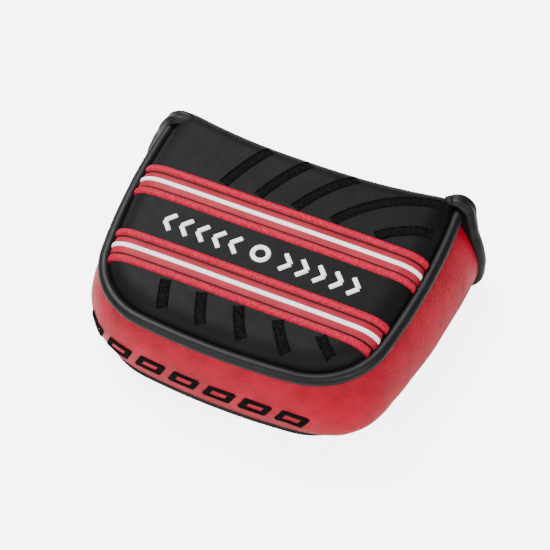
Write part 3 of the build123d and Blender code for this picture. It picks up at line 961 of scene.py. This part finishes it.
def build_lip_tape(upper):
    """Woven tape folded over a lip's free edge."""
    name = "upper_lip" if upper else "lower_lip"
    way = 1 if upper else -1
    edge = UPPER_EDGE if upper else LOWER_EDGE
    count = 260
    rows = []
    for share in np.linspace(-1, 1, count):
        half = lip_half_width(edge) + 0.15
        x = share * half
        z_edge = edge + (float(scallop(np.array(x))) if upper else 0.0)
        y = float(lip_front(np.array(x), np.array(z_edge + way * 2), upper))
        y -= end_tuck(share)
        # Across the tape: down the lip's front, round its free edge, and up its back.
        profile = [(y + 0.10, z_edge + way * 4.6), (y + 0.55, z_edge + way * 4.4)]
        profile += [(y + 0.62, z_edge + way * 2.6)]
        for angle in np.linspace(0, math.pi, 13):
            profile.append(
                (y - 2.3 + 2.95 * math.cos(angle), z_edge + way * (1.8 - 1.8 * math.sin(angle)))
            )
        profile += [(y - 5.2, z_edge + way * 4.4), (y - 4.6, z_edge + way * 4.6)]
        rows.append([(x, py, pz) for py, pz in profile])
    piece = grid_mesh(f"{name}_edge_tape", np.array(rows), BLACK_TAPE, name, flip=upper)
    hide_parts(f"{name}_tape")
    front_line = np.array([row[2] for row in rows[10:-10]])
    path = front_line + np.array([0, -0.02, way * 0.9])
    stitch_line(f"{name}_tape_stitching", path, (0, 1, 0), STITCH_THREAD, name)


def stitch_line(name, path, outward, material, body):
    """A row of separate stitches lying along a path, each arched and thinner at its ends."""
    length, gap, radius, bed = 2.2, 0.9, 0.28, 0.05
    path = resample(path, 0.2)
    along = np.concatenate([[0], np.cumsum(np.linalg.norm(np.diff(path, axis=0), axis=1))])
    vertices = []
    faces = []
    start = gap
    while start + length < along[-1]:
        marks = np.linspace(start, start + length, 9)
        points = np.stack([np.interp(marks, along, path[:, k]) for k in range(3)], axis=1)
        arch = np.sin(np.linspace(0, math.pi, 9)) * 0.22 - 0.12
        points = points + np.asarray(outward) * (arch + bed)[:, None]
        taper = radius * np.clip(np.sin(np.linspace(0.12, math.pi - 0.12, 9)) * 1.6, 0.3, 1)
        rings = tube_grid(points, taper, 8, up=outward)
        faces += grid_faces(9, 8, start=len(vertices), close_columns=True)
        vertices.extend(rings.reshape(-1, 3))
        start += length + gap
    return make_mesh(name, np.array(vertices), faces, material, body)


def smooth_path(points, count):
    """A Catmull-Rom curve through the points, with any number of columns."""
    points = np.asarray(points, dtype=float)
    padded = np.concatenate([[2 * points[0] - points[1]], points, [2 * points[-1] - points[-2]]])
    result = []
    for t in np.linspace(0, len(points) - 1, count):
        k = min(int(t), len(points) - 2)
        u = t - k
        p0, p1, p2, p3 = padded[k:k + 4]
        result.append(
            0.5 * (2 * p1 + (p2 - p0) * u + (2 * p0 - 5 * p1 + 4 * p2 - p3) * u**2
                   + (3 * p1 - p0 - 3 * p2 + p3) * u**3)
        )
    return np.array(result)


def build_end_bindings():
    """Soft leather binding round each end of the wall, over the piping's end to the panel."""
    sides = 36
    folds, fold_depth, fold_middle, fold_spread = 6, 0.13, 0.3, 0.2
    angles = np.linspace(0, 2 * math.pi, sides, endpoint=False)
    fore_share = np.sign(np.cos(angles)) * np.abs(np.cos(angles)) ** 0.8
    out_share = np.sign(np.sin(angles)) * np.abs(np.sin(angles)) ** 0.8
    for side, middle in (("left", BINDING_LEFT), ("right", BINDING_RIGHT)):
        columns = np.column_stack([middle, BINDING_WIDTH, BINDING_THICKNESS])
        curve = smooth_path(columns, 110)
        path, width, thickness = curve[:, :3], curve[:, 3], curve[:, 4]
        direction = tangents(path)
        fore = np.array([0.0, 1.0, 0.0]) - direction * direction[:, 1:2]
        fore /= np.linalg.norm(fore, axis=1, keepdims=True)
        out = np.cross(direction, fore)
        out *= np.sign(out[:, 2:3] + 4 * out[:, 0:1] * np.sign(path[:, 0:1]))
        along = np.linspace(0, 1, len(path))
        rings = []
        for k in range(len(path)):
            near_top = math.exp(-(((along[k] - fold_middle) / fold_spread) ** 2))
            fold = fold_depth * np.cos(angles * folds + 5 * along[k]) * near_top
            pucker = 0.02 * math.sin(along[k] * 47) * np.clip(out_share, 0, 1)
            reach = 1 + fold + pucker
            rings.append(
                path[k]
                + fore[k] * (fore_share * width[k] * reach)[:, None]
                + out[k] * (out_share * thickness[k] * reach)[:, None]
            )
        grid = np.array(rings)
        faces = grid_faces(len(grid), sides, close_columns=True, flip=side == "left")
        faces.append(tuple(range(sides)))
        faces.append(tuple((len(grid) - 1) * sides + k for k in range(sides)))
        piece = make_mesh(
            f"{side}_mouth_binding", grid.reshape(-1, 3), faces, BLACK_PIPING, "shell"
        )
        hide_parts(f"{side}_end_tape", f"{side}_piping_tab")


# ---------------------------------------------------------------- lining

def build_lining():
    """Plush on the inside of the top, the side wall and the bottom."""
    boundary, _ = half_outline(-CAP_EDGE_DEPTH - 1.5, 0, FRONT_Y - FOLD_RADIUS - 1, (8, 40, 60))
    share = crowded_shares(81)
    rows = []
    for half, y in boundary[1:]:
        x = share * half
        sag = (FRONT_Y - fold_y(x)) * np.clip(y / FRONT_Y, 0, 1) ** 3
        point, _ = cap_point(x, y - sag)
        point[:, 2] = np.minimum(point[:, 2] - 4.4, CAP_TOP - 4.6) + 0.15 * smooth_noise(
            x, y + 0 * x, 0 * x, 14.0, 21
        )
        rows.append(point)
    piece = grid_mesh("top_lining_plush", np.array(rows), PLUSH, "shell", flip=True)
    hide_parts("top_lining", "top_foam")

    rows = []
    for z in np.linspace(FOOT_WALL_Z, TOP_WALL_Z + 2.5, 40):
        inside = min(max(z, FOOT_WALL_Z), TOP_WALL_Z)
        outset, splay = wall_shape(inside)
        over = max(0.0, z - TOP_WALL_Z)
        points, normals = full_outline(
            outset - WALL_STACK - over * 0.8, splay, end_y(inside) - 1.0, (12, 50, 80)
        )
        bumpy = 0.18 * smooth_noise(points[:, 0], points[:, 1], 0 * points[:, 0] + z, 12.0, 22)
        points = points + normals * bumpy[:, None]
        rows.append(np.column_stack([points, np.full(len(points), z)]))
    piece = grid_mesh("side_lining_plush", np.array(rows), PLUSH, "shell", flip=True)
    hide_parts("side_lining")

    boundary, _ = half_outline(-5.6, FOOT_SPLAY, FRONT_Y - 8.5, (8, 40, 50))
    rows = []
    for half, y in boundary[1:]:
        x = share * half
        z = 4.75 + 0.15 * smooth_noise(x, y + 0 * x, 0 * x, 14.0, 23)
        rows.append(np.stack([x, y + 0 * x, z], axis=1))
    piece = grid_mesh("bottom_lining_plush", np.array(rows), PLUSH, "shell")
    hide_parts("bottom_lining")


# ---------------------------------------------------------------- camera, floor and lights

# How bright the floor and the surround look to the camera, and how much the surround lights.
FLOOR_GLOW = 4.6
WORLD_LIGHT, WORLD_SEEN = 0.22, 7.0


def build_stage():
    """A pale floor that curves up behind the cover."""
    count = 60
    size, front, bend_start = 900.0, 350.0, 330.0
    rows = []
    for k in range(count):
        back = size * k / (count - 1) - front
        rise = max(0.0, back - bend_start) ** 2 / size
        rows.append([(-size, back, rise), (size, back, rise)])
    shader = Shader("pale_floor", 0.7, 0.2)
    grain = shader.noise(1.5, detail=3.0)
    material = shader.finish(
        shader.mix((0.93, 0.93, 0.93), (0.95, 0.95, 0.95), grain),
        None,
        shader.bump(grain, 0.05, 0.05),
    )
    shader.surface.inputs["Emission Color"].default_value = (1, 1, 1, 1)
    seen = shader.node("ShaderNodeLightPath").outputs["Is Camera Ray"]
    glow = shader.spread(seen, 0.0, FLOOR_GLOW)
    shader.link(glow, shader.surface.inputs["Emission Strength"])
    floor = make_mesh(
        "floor", np.array(rows).reshape(-1, 3), grid_faces(count, 2), material, None
    )
    floor.location.z = -0.4 * MM


def add_light(name, place, target, size, power):
    """A square soft white light aimed at a point, all in metres."""
    data = bpy.data.lights.new(name, "AREA")
    data.shape = "SQUARE"
    data.size = size
    data.energy = power
    light = bpy.data.objects.new(name, data)
    bpy.context.scene.collection.objects.link(light)
    light.location = place
    light.rotation_euler = (Vector(target) - Vector(place)).to_track_quat("-Z", "Y").to_euler()


def build_lights():
    """Three soft lights and an even white surround, brighter to the camera than as a light."""
    target = (0.0, 0.0, 0.02)
    add_light("key", (-0.35, 0.25, 0.75), target, 0.45, 13.5)
    add_light("fill", (0.6, -0.35, 0.6), target, 0.6, 7.0)
    add_light("front", (-0.2, -0.7, 0.45), target, 0.6, 5.6)
    world = bpy.data.worlds.new("soft_white")
    bpy.context.scene.world = world
    world.use_nodes = True
    background = world.node_tree.nodes["Background"]
    background.inputs["Color"].default_value = (1.0, 1.0, 1.0, 1)
    seen = world.node_tree.nodes.new("ShaderNodeLightPath")
    strength = world.node_tree.nodes.new("ShaderNodeMapRange")
    strength.inputs["To Min"].default_value = WORLD_LIGHT
    strength.inputs["To Max"].default_value = WORLD_SEEN
    world.node_tree.links.new(seen.outputs["Is Camera Ray"], strength.inputs["Value"])
    world.node_tree.links.new(strength.outputs["Result"], background.inputs["Strength"])


def build_camera():
    """The camera: 55 degrees up and 23.6 degrees round from the rear."""
    azimuth = math.radians(23.6)
    elevation = math.radians(55.0)
    distance = 0.498
    target = Vector((0.0061, -0.0066, 0.0337))
    away = Vector((
        math.sin(azimuth) * math.cos(elevation),
        -math.cos(azimuth) * math.cos(elevation),
        math.sin(elevation),
    ))
    data = bpy.data.cameras.new("camera")
    data.sensor_width = 36.0
    data.lens = 93.7
    camera = bpy.data.objects.new("camera", data)
    bpy.context.scene.collection.objects.link(camera)
    camera.location = target + away * distance
    camera.rotation_euler = (-away).to_track_quat("-Z", "Y").to_euler()
    bpy.context.scene.camera = camera


build_camera()
build_lights()
build_stage()
dress_cad_nodes()
build_top_panel()
build_side_wall()
build_piping()
build_bands()
build_emblem()
build_ripples()
build_lozenges()
build_bottom_panel()
for is_upper in (True, False):
    build_lip_padding(is_upper)
    build_lip_tape(is_upper)
build_end_bindings()
build_lining()
